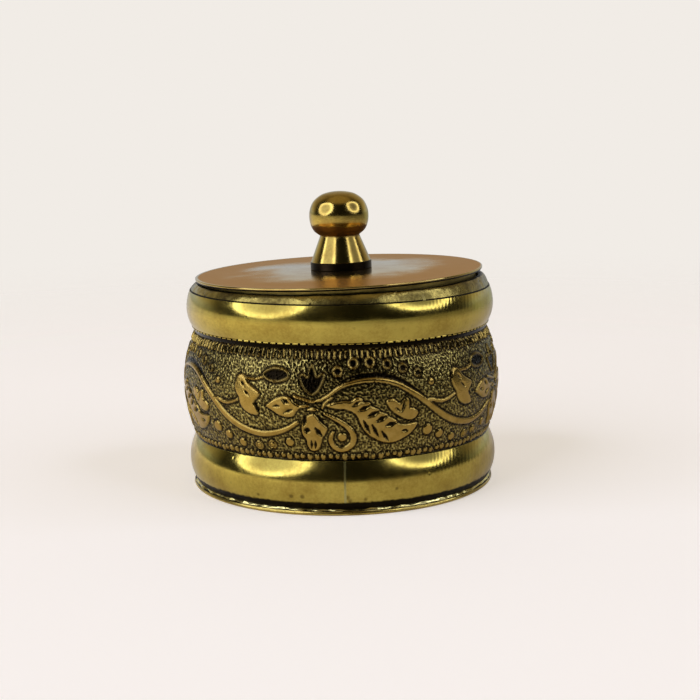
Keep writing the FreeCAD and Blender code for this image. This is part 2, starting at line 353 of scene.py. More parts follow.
plate = {"edgeStep": 0.25, "edgeOut": 0.3}
baseTop = top("base_plate")
beltRadius = reach("chased_band")
grooveDepth = 1.7
groove = beltRadius - grooveDepth
edge = groove + plate["edgeStep"]

outline = [(0, baseTop), (edge - 0.4, baseTop), (edge, baseTop)]
outline += arcTo((edge, baseTop), (edge + plate["edgeOut"] - 0.02, baseTop * 0.45), (edge - 0.1, 0), 8)
outline += [(edge - 0.4, 0), (0, 0)]
basePlate = turn("basePlate", outline)
smooth(basePlate)
place(basePlate, "box", plateFinish, "polished_brass", "base_plate")

# the solder is a shallow bead, squeezed out unevenly all round the foot of the hoop
bead = {"reach": 0.3, "rise": 0.3, "rough": 0.26, "under": 1.6}
beadInner = groove - bead["under"]
outline = [(beadInner, baseTop), (groove + bead["reach"], baseTop)]
outline += arcTo((groove + bead["reach"], baseTop), (groove + 0.24, baseTop + 0.3 * bead["rise"]),
                 (groove + 0.05, baseTop + bead["rise"]), 6)
outline += [(beadInner, baseTop + bead["rise"]), (beadInner, baseTop)]
solder = turn("baseSolder", outline, steps=480)
dent(solder, bead["rough"], 1.7)
smooth(solder, 60)
place(solder, "box", solderFinish, "braze", "base_solder")
print("base plate and solder")

# the two smooth hoops

hoopSheet, hoopStand, tubeSheet = 0.7, 0.95, 0.6
tubeOuter = groove - hoopStand
tubeInner = tubeOuter - tubeSheet
skirt = tubeOuter + 0.02  # what goes round the tube stands this hair clear of it


def hoopOutline(low, crown, high):
    # the outer swell, the two turned-in edges and the hollow inside
    land = 0.6
    rows = [(skirt, low[1] + land), (skirt, low[1])] + swell(low, crown, high)
    rows += [(skirt, high[1]), (skirt, high[1] - land)]
    return rows + arcTo((skirt, high[1] - land), (crown[0] - hoopSheet, crown[1]), (skirt, low[1] + land))


def seam(name, outline, at, width, proud, finish, node, follow=None, deep=0.5):
    # braze along a joint: a narrow strip of the same outline, a hair proud of it and sunk into the sheet.
    # turn() runs clockwise from at - sweep / 2, so the strip's middle lies one whole width clockwise of at
    rows = [(r + proud, z) for r, z in outline]
    low, high = rows[0], rows[-1]
    inner = min(low[0], high[0]) - deep
    rows = [(inner, low[1])] + rows + [(inner, high[1]), (inner, low[1])]
    sweep = width / high[0] * 180 / pi
    strip = turn(name, rows, at - sweep / 2, sweep, max(4, round(width / 0.12)))
    pick(strip)
    bpy.ops.object.mode_set(mode="EDIT")
    closeEnds()
    bpy.ops.object.mode_set(mode="OBJECT")
    if follow:
        dent(strip, *follow)
    dent(strip, 0.012, 0.6)
    smooth(strip, 50)
    place(strip, "box", finish, "braze", node)
    return strip


lower = {"crown": reach("lower_hoop"), "crownAt": 0.48, "seamAt": -88.2}
low, high = bottom("lower_hoop"), top("lower_hoop")
crown = (lower["crown"], low + lower["crownAt"] * (high - low))
curve = swell((groove, low), crown, (groove - 0.05, high))
lowerHoop = turn("lowerHoop", hoopOutline((groove, low), crown, (groove - 0.05, high)), steps=320)
dent(lowerHoop, 0.035, 7)
smooth(lowerHoop)
place(lowerHoop, "box", hoopFinish, "polished_brass", "lower_hoop")
seam("lowerHoopSeam", curve, lower["seamAt"], 0.34, 0.008, seamFinish, "lower_hoop_seam", (0.035, 7))

low, high = bottom("upper_hoop"), top("upper_hoop")
crown = (reach("upper_hoop"), (low + high) / 2)
upperLow, upperHigh = (groove + 0.1, low), (groove + 0.25, high)
upperHoop = turn("upperHoop", hoopOutline(upperLow, crown, upperHigh), steps=320)
dent(upperHoop, 0.035, 6)
smooth(upperHoop)
place(upperHoop, "box", hoopFinish, "polished_brass", "upper_hoop")
seam("upperHoopSeam", swell(upperLow, crown, upperHigh), 100, 0.34, 0.008, seamFinish, "upper_hoop_seam",
     (0.035, 6))

# the lip under the upper hoop, notched all round with a small chisel
notch = {"count": 127, "dash": 0.78, "radius": 0.16, "root": 0.35}
lipZ, lipR = low - 0.13, groove - 0.02
root = groove - notch["root"]
ring = [(lipR + notch["radius"] * cos(radians(a)), lipZ + notch["radius"] * sin(radians(a)))
        for a in range(-90, 91, 45)]
ring = [(root, lipZ - notch["radius"])] + ring + [(root, lipZ + notch["radius"])]
dash = notch["dash"] / groove * 180 / pi
lip = turn("upperHoopLip", ring + ring[:1], 0, dash, 3)
pick(lip)
bpy.ops.object.mode_set(mode="EDIT")
closeEnds()
bpy.ops.mesh.spin(steps=notch["count"] - 1, angle=2 * pi * (notch["count"] - 1) / notch["count"], dupli=True,
                  center=(0, 0, 0), axis=(0, 0, 1))
bpy.ops.object.mode_set(mode="OBJECT")
dent(lip, 0.05, 0.5)
smooth(lip, 60)
place(lip, "box", hoopFinish, "polished_brass", "upper_hoop")
print("hoops")

# the rim ring, filed by hand, lower at the left than at the right

rim = {"leanEachWay": 0.4, "crownLow": 32.88, "roughness": 0.06, "seamAt": -57, "paintedShadeWidth": 0.72}
low = bottom("rim_ring")
foot = (groove + 0.15, low)
shoulder = (groove - 0.45, low + 1.05)
seat = (tubeInner + 0.5, rim["crownLow"])
outline = [(tubeInner, low), foot] + arcTo(foot, shoulder, seat, 14)
outline += [(tubeInner + 0.2, rim["crownLow"]), (tubeInner, rim["crownLow"] - 0.2), (tubeInner, low)]
rimRing = turn("rimRing", outline, steps=400)
for v in rimRing.data.vertices:
    share = (v.co.z / mm - low) / (rim["crownLow"] - low)
    v.co.z += share * rim["leanEachWay"] * v.co.x / beltRadius
dent(rimRing, rim["roughness"], 1.6)
smooth(rimRing, 50)
place(rimRing, "box", rimFinish, "filed_brass", "rim_ring")
# a patch of braze, meant to stand proud of the ring at seamAt. It doesn't: the strip comes out at -91 to -68
# degrees, past the range the bulge is written for, which bends it into the mouth and through the lid's ring
rimCurve = [foot] + arcTo(foot, shoulder, seat, 14)
seam("rimSeam", rimCurve, rim["seamAt"], 0.5, 0.03, brazeFinish, "rim_ring_seam")
patch = {"wide": 9, "proud": 0.5, "sunk": 0.07, "crackDepth": 0.2, "crackWidth": 0.035}
braze = seam("rimPatch", rimCurve[2:12], rim["seamAt"], patch["wide"], 0, solderFinish, "rim_ring_seam")
spread = patch["wide"] / groove / 2
for v in braze.data.vertices:
    turned = (np.arctan2(v.co.y, v.co.x) - radians(rim["seamAt"])) / spread
    high = (v.co.z / mm - foot[1]) / (rim["crownLow"] - foot[1])
    rise = sin(pi * min(max(high + 0.15 * turned, 0), 1))
    swellOut = patch["proud"] * (1 - turned ** 2) * rise - patch["sunk"]
    crack = patch["crackDepth"] * np.exp(-((turned - 0.1 - 0.05 * sin(9 * high)) / patch["crackWidth"]) ** 2)
    scale = 1 + (swellOut - crack) * mm / sqrt(v.co.x ** 2 + v.co.y ** 2)
    v.co.x, v.co.y = v.co.x * scale, v.co.y * scale
    v.co.z += high * rim["leanEachWay"] * v.co.x / beltRadius
dent(braze, 0.15, 0.9)
rimRing.data.materials.append(shadeBlackFinish)  # painted shade: the rim's inner edge under the lid is coloured near black
for face in rimRing.data.polygons:
    if Vector(face.center[:2]).length < (tubeInner + rim["paintedShadeWidth"]) * mm:
        face.material_index = 1
print("rim ring")

# the tube inside

low, high = bottom("inner_tube"), top("inner_tube")
outline = [(tubeInner, low), (tubeOuter, low), (tubeOuter, high), (tubeInner, high), (tubeInner, low)]
innerTube = turn("innerTube", outline)
smooth(innerTube)
place(innerTube, "box", plainBrass, "plain_brass", "inner_tube")
seam("innerTubeSeam", [(tubeInner, low), (tubeInner, high)], 75, 0.6, -0.03, brazeFinish, "inner_tube_seam",
     deep=-0.4)
print("inner tube")

# the lid, loose in the mouth and a little askew

lid = {"lean": 1.59, "edgeRound": 0.16, "underRound": 0.3, "thickness": 0.55, "dome": 0.25,
       "radius": reach("lid_plate"), "shift": -0.1, "knobShift": 0.45}
bore = 1.25  # the screw's hole through lid and knob
seatZ = bottom("lid_plate")
lidTop = seatZ + lid["thickness"]
domeTop = lidTop + lid["dome"]
screwTip = domeTop + 5
flatFrom, seatTo = tubeInner - 1.6, 5.3
r, e = lid["radius"], lid["edgeRound"]
outline = [(bore, domeTop), (seatTo - 0.4, domeTop), (seatTo, domeTop)]
halfWay = (flatFrom + seatTo) / 2
outline += arcTo((seatTo, domeTop), (halfWay, lidTop + 0.62 * lid["dome"]), (flatFrom, lidTop), 12)
outline += [(r - e - 0.5, lidTop), (r - e, lidTop)]
outline += arcTo((r - e, lidTop), (r - 0.3 * e, lidTop - 0.3 * e), (r, lidTop - e), 4)
e = lid["underRound"]
outline += [(r, seatZ + e)] + arcTo((r, seatZ + e), (r - 0.3 * e, seatZ + 0.3 * e), (r - e, seatZ), 4)
outline += [(flatFrom, seatZ)] + arcTo((flatFrom, seatZ), (halfWay, seatZ + 0.62 * lid["dome"]),
                                       (seatTo, domeTop - lid["thickness"]), 8)
outline += [(bore, domeTop - lid["thickness"]), (bore, domeTop)]
lidPlate = turn("lidPlate", outline, steps=360)

ringOuter = reach("locating_ring")
ringLow = bottom("locating_ring")
ringInner = ringOuter - 0.6
ringOutline = [(ringInner, ringLow), (ringOuter - 0.2, ringLow), (ringOuter, ringLow + 0.2),
               (ringOuter, seatZ), (ringInner, seatZ), (ringInner, ringLow)]
locatingRing = turn("locatingRing", ringOutline)

knobSize = {"foot": 4.88, "footHeight": 1.25, "neck": 3.13, "cone": 4.1}
k = knobSize
coneZ = domeTop + k["footHeight"]
neckZ = coneZ + k["cone"]
outline = [(bore, domeTop), (k["foot"] - 0.08, domeTop), (k["foot"], domeTop + 0.08),
           (k["foot"], coneZ - 0.1), (k["foot"] - 0.08, coneZ - 0.01)]
outline += [(k["foot"] - 0.12 - (k["foot"] - 0.12 - k["neck"]) * i / 6, coneZ + (neckZ - coneZ) * i / 6)
            for i in range(6)]
# the flattened ball: radius, and height over the neck
ball = [(3.13, 0), (4.02, 0.72), (4.55, 1.75), (4.73, 2.95), (4.58, 4.2), (3.95, 5.5), (2.7, 6.46),
        (1.3, 6.86), (0, 6.97)]
outline += [(r, neckZ + z) for r, z in throughPoints(ball, False, 6)]
outline += [(0, screwTip), (bore, screwTip), (bore, domeTop)]
knob = turn("turnedKnob", outline, steps=192)

screwLow = bottom("knob_screw")
headTop = bottom("knob_washer")
outline = [(0, screwLow), (1.6, screwLow)] + arcTo((1.6, screwLow), (2.18, headTop - 0.72), (2.3, headTop), 6)
outline += [(bore, headTop), (bore, screwTip), (0, screwTip)]
screw = turn("knobScrew", outline, steps=64)
washer = turn("knobWasher", [(bore, headTop), (2.95, headTop), (3.0, headTop + 0.05), (3.0, headTop + 0.35),
                             (2.95, headTop + 0.4), (bore, headTop + 0.4), (bore, headTop)], steps=64)

pivot = Vector((0, 0, (seatZ + 0.04) * mm))
askew = (Matrix.Translation(pivot) @ Matrix.Rotation(radians(-lid["lean"]), 4, "Y")
         @ Matrix.Translation(-pivot))
for piece, shift in ((lidPlate, 0), (locatingRing, 0), (knob, lid["knobShift"]), (screw, lid["knobShift"]),
                     (washer, lid["knobShift"])):
    piece.data.transform(askew @ Matrix.Translation(Vector((lid["shift"] + shift, 0, 0)) * mm))
    smooth(piece)
footTop = coneZ * mm
place(lidPlate, "lid", lidFinish, "lid_brass", "lid_plate")
place(locatingRing, "lid", plainBrass, "plain_brass", "locating_ring", "locating_ring_seam")
place(knob, "lid", knobFinish, "knob_brass", "knob")
# painted shade: the lid's downward faces are coloured near black
lidPlate.data.materials.append(shadeBlackFinish)
for face in lidPlate.data.polygons:
    if face.normal.z < -0.2:
        face.material_index = 1
knob.data.materials.append(shadeBlackFinish)  # painted shade: the knob's foot, against the lid, is coloured near black
for face in knob.data.polygons:
    if (askew.inverted() @ face.center).z < footTop - 0.02 * mm:
        face.material_index = 1
place(screw, "lid", plainBrass, "plain_brass", "knob_screw")
place(washer, "lid", plainBrass, "plain_brass", "knob_washer")
print("lid")

# the chased band: a barrel of sheet, its pattern raised and the ground round it beaten down with punches.
# pattern sizes are millimetres along the band (u, to the right) and up from the table (z)

band = {"groundDepth": 0.19, "edgeWidth": 0.1, "dimpleSize": 0.32, "dimpleDepth": 0.11, "outlineDepth": 0.06,
        "repeat": 35.6, "neck": 0.8, "around": 1392, "rows": 130}

low, high = bottom("chased_band"), top("chased_band")
neckZ = high - band["neck"]
crown = (beltRadius, (low + neckZ) / 2)
bandLow, bandHigh = (groove, low), (groove - 0.25, neckZ)

# stems: the points they pass through, and how wide they are at the start, through the middle and at the end
stems = [
    ([(-2.8, 17.8), (-1.6, 18.5), (-0.2, 19.5), (1.5, 20.1), (4, 20.45), (6.5, 20.3), (8.8, 19.6),
      (11, 18.3), (13, 16.9), (14.8, 15.5), (16.8, 14.1), (18.8, 13.1), (20.8, 12.5), (23, 12.2),
      (25.2, 12.5), (27.2, 13.2), (29, 14.3)], [0.3, 0.4, 0.6, 0.8, 0.95, 0.8, 0.45]),
    ([(-7, 18.2), (-5.6, 17.8), (-4.2, 17.5), (-2.8, 17.8)], [0.3, 0.3]),
    ([(13.6, 16.8), (14.5, 16.8), (15.5, 16.5), (16.5, 16.4), (17.6, 16.6), (18.9, 17.1)], [0.35, 0.5, 0.3]),
    ([(-2.4, 15.7), (-1.2, 15.1), (0, 14.4), (1.1, 13.5), (1.8, 12.3), (1.7, 11.1), (0.8, 10.3), (-0.2, 10.1),
      (-1.1, 10.6), (-1.6, 11.5), (-1.5, 12.3), (-1.2, 12.9)], [0.3, 0.6, 0.85, 0.75, 0.7, 0.3]),
    ([(-6.1, 16.7), (-4.8, 16.8)], [0.3, 0.2]),
    ([(-15, 20.4), (-13.5, 20.4), (-12.2, 20.8)], [0.25, 0.3]),
    ([(-4.9, 16.3), (-4.1, 16.35), (-3.4, 16.3)], [0.15, 0.4, 0.15]),
    ([(-2.7, 16.6), (-2.2, 17.4), (-1.2, 18.1)], [0.25, 0.3, 0.15]),
]

# leaves and flowers: the outline, the veins and nicks cut back into it (from, to, width), and for a shape
# punched hollow the width of the rim left standing
leaves = [
    ([(-4.3, 15.6), (-5, 15.3), (-5.6, 14.6), (-5.9, 13.6), (-5.8, 12.5), (-5.3, 11.7), (-5.2, 10.8),
      (-4.8, 10.1), (-4.2, 9.9), (-3.5, 10.3), (-3.1, 11.2), (-2.9, 12), (-2.4, 12.7), (-2.1, 13.5),
      (-2.7, 14.1), (-3.2, 14.6), (-3.6, 15.2), (-4, 15.6)],
     [((-5.5, 13.3), (-4.7, 13.1), 0.65), ((-3.9, 13.6), (-2.9, 12.4), 0.5),
      ((-4.55, 11.6), (-4.6, 10.3), 0.34), ((-3.95, 11.6), (-4.0, 10.3), 0.34),
      ((-5.2, 15.3), (-5.6, 13.9), 0.5), ((-3.4, 15.4), (-2.6, 14.2), 0.5)], 0),
    ([(-2.1, 16.9), (-1, 17.3), (0.4, 17.5), (1.5, 17.5), (2.4, 18), (3.2, 17.7), (3.1, 17.3), (4.3, 17.1),
      (4.3, 16.7), (5.6, 16.1), (5.7, 15.8), (6.9, 15.3), (7, 15), (8.3, 14.3), (8.6, 13.8), (9.8, 13.5),
      (11.4, 13.6), (11.8, 13.4), (11, 12.3), (9.6, 11.4), (8, 10.9), (6.3, 11.1), (4.9, 11.8), (3.8, 12.7),
      (3, 13.9), (2.6, 15), (1.8, 15.9), (0.6, 16.4), (-0.8, 16.5)],
     [((1.8, 16.9), (2.9, 17.5), 0.4), ((2.7, 16.2), (4.3, 16.8), 0.5), ((4, 15.2), (5.6, 15.9), 0.55),
      ((5.3, 14.4), (6.8, 15.1), 0.55), ((6.7, 13.6), (8.2, 14.0), 0.55), ((3.3, 14.6), (4.3, 12.7), 0.5),
      ((4.6, 13.9), (5.6, 12.1), 0.45), ((6.1, 12.8), (7.2, 11.3), 0.45),
      ((9.3, 12.6), (10.3, 12.6), 0.35)], 0),
    ([(6.9, 17.3), (7.7, 17.5), (8.4, 17.2), (8.9, 16.8), (9.8, 17.4), (10.4, 17.2), (10.4, 16.1),
      (11.2, 15.8), (11.9, 15.3), (11.6, 14.6), (10.8, 14.2), (9.8, 14.4), (8.6, 15.1), (7.6, 15.9),
      (7.1, 16.6)],
     [((9.8, 17.3), (9.2, 15.7), 0.32), ((8.2, 16.3), (9.0, 15.6), 0.25)], 0),
    ([(-11.5, 16.6), (-10.8, 17.2), (-9.8, 17.8), (-8.6, 18.1), (-7.6, 17.9), (-6.9, 17.2), (-6.1, 16.7),
      (-6.6, 16.1), (-7.2, 15.3), (-8, 15.1), (-9.2, 15.3), (-10.3, 15.9), (-11, 16.3)],
     [((-10.2, 16.7), (-9.2, 16.7), 0.3), ((-8.7, 17.7), (-7.8, 17.2), 0.45),
      ((-8.5, 15.8), (-7.2, 16.3), 0.4)], 0),
    ([(-16.8, 18.1), (-17.2, 19.3), (-16.9, 20.5), (-16.2, 20.9), (-15.4, 20.6), (-14.7, 19.7), (-13.6, 19),
      (-12.6, 18.4), (-13, 17.7), (-13.6, 17), (-13.2, 16.3), (-12.9, 15.4), (-13.3, 15.1), (-14.4, 15.2),
      (-15.4, 15.7), (-16.1, 16.6), (-16.3, 17.5)],
     [((-13.4, 17.1), (-13.1, 16.4), 0.4), ((-15.2, 18.6), (-14.4, 17.9), 0.3),
      ((-15.9, 19.9), (-15.3, 19.2), 0.3)], 0),
    ([(-12.2, 21.2), (-11.6, 21.9), (-10.4, 22.3), (-9, 22.2), (-8.0, 21.7), (-7.8, 21.0), (-8.6, 20.4),
      (-10, 20.1), (-11.4, 20.4)], [], 0.3),
    ([(-4.3, 22.9), (-3.8, 22), (-3.5, 21.2), (-2.8, 21.6), (-2.3, 21.2), (-2.7, 20), (-3.3, 19),
      (-4.2, 18.4), (-5.2, 19), (-5.9, 20), (-6.2, 21.2), (-5.6, 21.5), (-5, 21.1), (-4.8, 22)],
     [((-4.9, 20.8), (-4.4, 19.3), 0.28), ((-3.6, 20.8), (-4, 19.3), 0.28)], 0.24),
]

# lines cut into the ground with a graver
grooves = [([(0.0, 20.35), (1.6, 20.95), (4, 21.25), (6.5, 21.1), (8.9, 20.4), (11.2, 19.0), (12.9, 17.8)],
            [0.1, 0.45, 0.5, 0.4, 0.1])]

# berries: centre, radius, and whether the top is plain, ringed or punched hollow
berries = [(0.15, 12.1, 0.62, ""), (13.8, 12.3, 0.8, ""), (16.2, 11.3, 0.65, ""), (19, 10.4, 0.6, ""),
           (22.2, 10.3, 0.66, "ringed"), (24.6, 10.6, 0.66, "ringed"), (27.6, 11.2, 0.62, ""),
           (14.4, 19.5, 0.45, ""), (-0.4, 21.8, 0.75, "hollow"), (2, 22.9, 0.8, "hollow"),
           (4.6, 23, 0.78, "hollow"), (7.3, 22.6, 0.7, "hollow"), (9.8, 21.9, 0.7, "hollow"),
           (12.2, 21, 0.62, "hollow")]


def toLine(at, line, widths):
    # how far each place is inside a line of changing width
    best = np.full(len(at), -9.0)
    half = np.interp(np.linspace(0, 1, len(line)), np.linspace(0, 1, len(widths)), widths) / 2
    for a, b, wa, wb in zip(line, line[1:], half, half[1:]):
        run = b - a
        t = np.clip(((at - a) @ run) / max(run @ run, 1e-9), 0, 1)
        gap = np.hypot(*(at - a - t[:, None] * run).T)
        best = np.maximum(best, wa + (wb - wa) * t - gap)
    return best


def toOutline(at, line):
    # how far each place is inside a closed outline
    gap = np.full(len(at), 99.0)
    inside = np.zeros(len(at), bool)
    for a, b in zip(line, np.roll(line, -1, axis=0)):
        run = b - a
        t = np.clip(((at - a) @ run) / max(run @ run, 1e-9), 0, 1)
        gap = np.minimum(gap, np.hypot(*(at - a - t[:, None] * run).T))
        crosses = (a[1] > at[:, 1]) != (b[1] > at[:, 1])
        inside ^= crosses & (at[:, 0] < a[0] + (at[:, 1] - a[1]) * run[0] / (run[1] if run[1] else 1e-9))
    return np.where(inside, gap, -gap)


def near(at, points, margin=1.2):
    lowest, highest = np.min(points, axis=0) - margin, np.max(points, axis=0) + margin
    return np.flatnonzero(np.all((at > lowest) & (at < highest), axis=1))


def step(x):
    x = np.clip(x, 0, 1)
    return x * x * (3 - 2 * x)


def chase(u, z):
    # how deep each place is inside the raised pattern, any shape, a cut and a graver line, and how dull it is,
    # with painted shade on the hollow berries that deepens towards the right
    at = np.stack([u, z], axis=1)
    inside = np.full(len(at), -9.0)
    cut = np.full(len(at), -9.0)
    carved = np.full(len(at), -9.0)
    dullAndShade = np.zeros(len(at))
    half = pi * beltRadius
    for copy in range(-3, 4):
        shift = np.array([copy * band["repeat"], 0])
        for points, widths in stems:
            line = throughPoints(points, False) + shift
            rows = near(at, line)
            if len(rows):
                inside[rows] = np.maximum(inside[rows], toLine(at[rows], line, widths))
        for points, widths in grooves:
            line = throughPoints(points, False) + shift
            rows = near(at, line)
            if len(rows):
                carved[rows] = np.maximum(carved[rows], toLine(at[rows], line, widths))
        for points, nicks, hollow in leaves:
            line = throughPoints(points, True) + shift
            rows = near(at, line)
            if len(rows) == 0:
                continue
            gap = toOutline(at[rows], line)
            inside[rows] = np.maximum(inside[rows], gap)
            if hollow:
                cut[rows] = np.maximum(cut[rows], gap - hollow)
                dullAndShade[rows[gap > -0.2]] = 0.75
            for a, b, width in nicks:
                stroke = np.array([a, ((a[0] + b[0]) / 2, (a[1] + b[1]) / 2), b]) + shift
                rows = near(at, stroke)
                if len(rows):
                    widths = [0.4 * width, 1.3 * width, 0.4 * width]
                    cut[rows] = np.maximum(cut[rows], toLine(at[rows], stroke, widths))
        for x, y, size, style in berries:
            middle = np.array([[x, y]]) + shift
            rows = near(at, middle, 2)
            if len(rows):
                away = np.hypot(*(at[rows] - middle[0]).T)
                inside[rows] = np.maximum(inside[rows], size - away)
                if style == "ringed":
                    cut[rows] = np.maximum(cut[rows], 0.07 - abs(away - 0.66 * size))
                if style == "hollow":
                    cut[rows] = np.maximum(cut[rows], size - 0.24 - away)
                    # painted shade: the hollow berries darken more the further right they lie
                    dullAndShade[rows[away < size + 0.2]] = 0.35 + 0.04 * min(x, 10)
    # a row of upright strokes under the top hoop, and a row of beads over the lower one, struck one by one
    for pitch, level, tall, width, lean, seed in ((0.9, 24.2, 0.42, 0.13, 0.2, 3),
                                                  (1.12, 8.93, 0.06, 0.36, 0.0, 5)):
        count = round(2 * half / pitch)
        rng = np.random.default_rng(seed)
        jog = rng.uniform(-0.12, 0.12, (count, 4))
        blow = (u + half) * count / (2 * half)
        i = np.floor(blow).astype(int) % count
        x = (blow - np.floor(blow) - 0.5) * 2 * half / count + jog[i, 0]
        y = z - level - jog[i, 1]
        x = x - lean * jog[i, 2] * 6 * y
        struck = width * (1 + 1.5 * jog[i, 3]) - np.hypot(x, np.maximum(abs(y) - tall, 0))
        dullAndShade[struck > np.maximum(inside, -0.1)] = 0.35
        inside = np.maximum(inside, struck)
    body = np.minimum(inside, -cut)
    return body, inside, np.maximum(cut, carved), carved, dullAndShade


def dimples(u, z, size, seed):
    # overlapping blows of a small round punch, one to each cell of a loose grid
    rng = np.random.default_rng(seed)
    width = round(2 * pi * beltRadius / size)
    tall = 64
    spots = rng.random((tall, width, 2)) * 0.9 + 0.05
    weight = 0.5 + rng.random((tall, width)) * 0.8
    cellU = (u / size) % width
    cellZ = z / size
    i, j = np.floor(cellU).astype(int), np.floor(cellZ).astype(int)
    depth = np.zeros(len(u))
    for di in (-1, 0, 1):
        for dj in (-1, 0, 1):
            a, b = (i + di) % width, (j + dj) % tall
            du = cellU - (i + di + spots[b, a, 0])
            dz = cellZ - (j + dj + spots[b, a, 1])
            depth = np.maximum(depth, weight[b, a] * np.clip(1 - (du * du + dz * dz) / 0.42, 0, 1))
    return depth


def bandHalf(name, startAngle, node, sweep=180.0):
    # turn() runs clockwise, so the half that starts at 180 is the back one, and the one from 0 the front one
    b = band
    rows = swell(bandLow, crown, bandHigh, b["rows"] // 2)
    outline = [(skirt, low), (groove - 0.3, low)] + rows
    outline += [(bandHigh[0], neckZ + 0.3), (bandHigh[0], high), (skirt, high), (skirt, high - 1.2)]
    outline += arcTo((skirt, high - 1.2), (beltRadius - 1.1, crown[1]), (skirt, low), 4)
    wedges = 12
    piece = turn(name, outline, startAngle, sweep / wedges, b["around"] // (2 * wedges))
    pick(piece)
    bpy.ops.object.mode_set(mode="EDIT")
    bpy.ops.mesh.select_all(action="SELECT")
    bpy.ops.mesh.spin(steps=wedges - 1, angle=radians(sweep * (wedges - 1) / wedges), dupli=True,
                      center=(0, 0, 0), axis=(0, 0, 1))
    bpy.ops.mesh.select_all(action="SELECT")
    bpy.ops.mesh.remove_doubles(threshold=0.002 * mm)
    closeEnds()
    bpy.ops.object.mode_set(mode="OBJECT")
    mesh = piece.data
    flat = np.empty(len(mesh.vertices) * 3)
    mesh.vertices.foreach_get("co", flat)
    xyz = flat.reshape(-1, 3) / mm
    r = np.hypot(xyz[:, 0], xyz[:, 1])
    u = (np.arctan2(xyz[:, 0], -xyz[:, 1])) * beltRadius
    z = xyz[:, 2]
    # only the outer skin is worked, fading out at the neck and at the foot
    skin = (r > groove - 0.6) & (z > low + 0.02) & (z < neckZ + 0.02)
    body, inside, cut, carved, dullAndShade = chase(u[skin], z[skin])
    edge = b["edgeWidth"]
    lift = step(body / edge * 0.5 + 0.5)
    beaten = dimples(u[skin], z[skin], b["dimpleSize"], 7)
    beside = np.exp(-((inside + 0.17) / 0.11) ** 2)
    nicked = step(cut / 0.08 + 0.6)
    rounding = 1 - 0.12 * np.exp(-np.clip(body, 0, 9) / 0.15)
    height = -b["groundDepth"] * (1 - lift * rounding)
    height = height - (1 - lift) * (b["dimpleDepth"] * beaten + b["outlineDepth"] * beside)
    fade = step((z[skin] - low) / 0.35) * step((neckZ + 0.02 - z[skin]) / 0.3)
    height = (height - 0.09 * step(carved / 0.1 + 0.5) * (1 - lift)) * fade
    scale = (r[skin] + height) / r[skin]
    xyz[skin, 0] *= scale
    xyz[skin, 1] *= scale
    mesh.vertices.foreach_set("co", (xyz * mm).ravel())
    polishAndShade = np.zeros(len(mesh.vertices))
    polishAndShade[skin] = lift * fade * (1 - dullAndShade)
    # painted shade: the neck under the upper hoop, the unworked faces and the edges of the worked skin are
    # coloured as black ground
    sootAndShade = np.ones(len(mesh.vertices))
    sootAndShade[skin] = np.clip(beaten * 0.75 + 0.7 * beside + 0.9 * nicked, 0, 1) * (1 - lift)
    sootAndShade[skin] = np.maximum(sootAndShade[skin], np.maximum(1 - fade, 0.6 * dullAndShade * lift))
    for label, values in (("polishAndShade", polishAndShade), ("sootAndShade", sootAndShade)):
        layer = mesh.attributes.new(label, "FLOAT", "POINT")
        layer.data.foreach_set("value", values)
    mesh.update()
    smooth(piece, 60)
    place(piece, "box", chasedFinish, "chased_brass", node)


def chasedBrass():
    # brass darkened all over, rubbed bright where the pattern stands up and left black in the punch marks; the
    # neck under the upper hoop and the band's top and bottom edges are painted shade, coloured black
    finish, tree, shader = newFinish("chasedBrass")
    shader.inputs["Metallic"].default_value = 1.0
    where = addNode(tree, "TexCoord").outputs["Object"]
    polishAndShade = addNode(tree, "Attribute", {"attribute_name": "polishAndShade"}).outputs["Fac"]
    sootAndShade = addNode(tree, "Attribute", {"attribute_name": "sootAndShade"}).outputs["Fac"]
    worn = addNode(tree, "TexNoise", {"Scale": 1 / (1.4 * mm), "Detail": 4.0, "Roughness": 0.65}, Vector=where)
    grain = addNode(tree, "TexNoise", {"Scale": 1 / (0.25 * mm), "Detail": 3.0, "Roughness": 0.6}, Vector=where)
    ground = ramp(tree, sootAndShade, [(0.0, srgb("#BFAD60")), (0.22, srgb("#82713A")), (0.55, srgb("#3A3018")),
                               (1.0, srgb("#151008"))])
    rubbed = ramp(tree, worn.outputs["Fac"], [(0.3, srgb("#9A7B34")), (0.5, srgb("#B09044")),
                                              (0.7, srgb("#BD9D50"))])
    color = addNode(tree, "Mix", {"data_type": "RGBA"}, _0=polishAndShade, _6=ground, _7=rubbed)
    tree.links.new(color.outputs[2], shader.inputs["Base Color"])
    gloss = addNode(tree, "MapRange", {"From Min": 0.0, "From Max": 1.0, "To Min": 0.22, "To Max": 0.2},
                    Value=polishAndShade)
    tree.links.new(gloss.outputs["Result"], shader.inputs["Roughness"])
    bump = addNode(tree, "Bump", {"Strength": 0.6, "Distance": 0.03 * mm}, Height=grain.outputs["Fac"])
    tree.links.new(bump.outputs["Normal"], shader.inputs["Normal"])
    return finish


chasedFinish = chasedBrass()
bandHalf("bandFront", 180, "chased_band")
bandHalf("bandBack", 0, "chased_band_seam")
print("chased band")

# floor: pale paper that fades out into the pale surround

